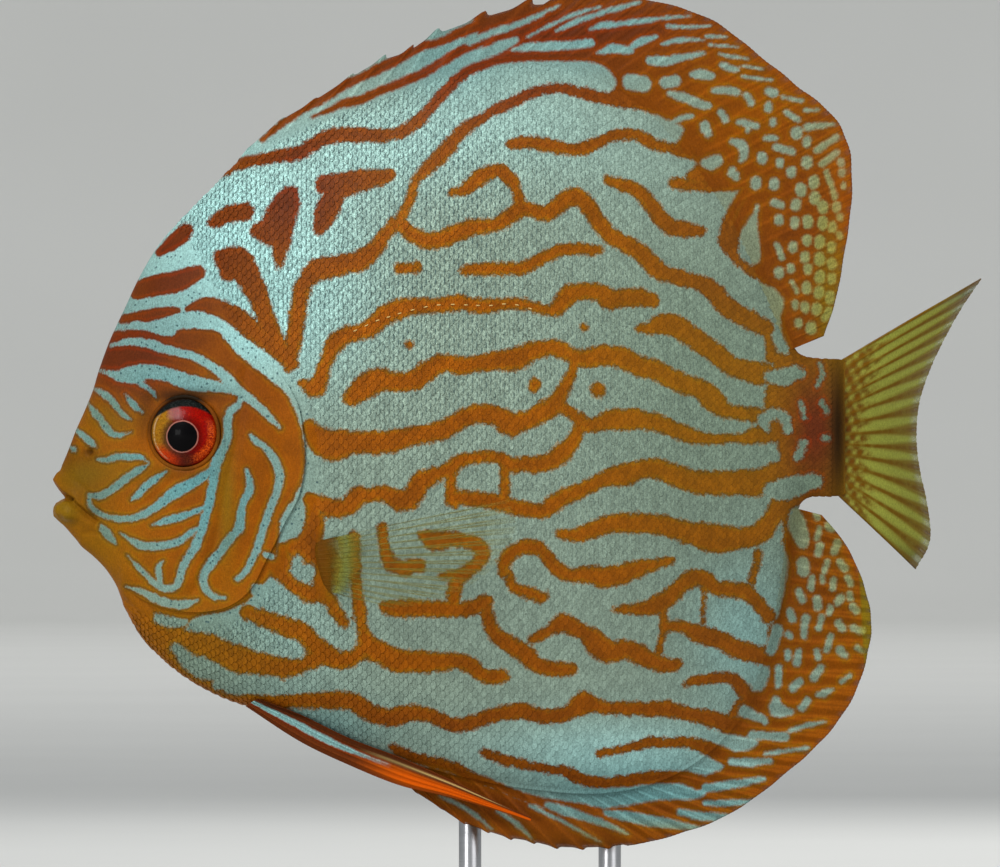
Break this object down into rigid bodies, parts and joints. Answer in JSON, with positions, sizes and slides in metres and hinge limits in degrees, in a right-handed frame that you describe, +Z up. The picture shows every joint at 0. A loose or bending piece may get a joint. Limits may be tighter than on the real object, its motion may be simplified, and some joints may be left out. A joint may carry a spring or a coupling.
{
  "type": "discus fish model",
  "caption": "Life-size still model of a discus fish with spread dorsal, anal and tail fins, held upright over an oval base by short rods, as a museum shows one.",
  "frame": {"origin": "middle of the stand's underside, below the middle of the fish's length", "axes": "-X towards the snout, +X towards the tail, -Y the fish's left side, +Z up"},
  "size_m": [0.1652, 0.08, 0.1733],
  "materials": {
    "ochre_head": "wet skin, ochre brown with turquoise lines",
    "turquoise_flank": "scaled skin, pale turquoise with orange stripes",
    "red_eye": "clear gloss over a red iris and a black pupil",
    "orange_fin": "ribbed membrane, orange brown with pale spots",
    "clear_fin": "ribbed membrane, half clear and olive yellow",
    "black_base": "smooth black lacquer",
    "steel_rod": "satin steel"
  },
  "bodies": {
    "root": {"head": "ochre_head", "gill_cover_left": "ochre_head", "gill_cover_right": "ochre_head", "eye_left": "red_eye", "eye_right": "red_eye", "torso": "turquoise_flank", "tail_stalk": "turquoise_flank", "dorsal_fin": "orange_fin", "anal_fin": "orange_fin", "pelvic_fin_left": "orange_fin", "pelvic_fin_right": "orange_fin", "tail_fin": "clear_fin", "pectoral_fin_left": "clear_fin", "pectoral_fin_right": "clear_fin", "stand_base": "black_base", "stand_rod_front": "steel_rod", "stand_rod_rear": "steel_rod"}
  },
  "joints": []
}
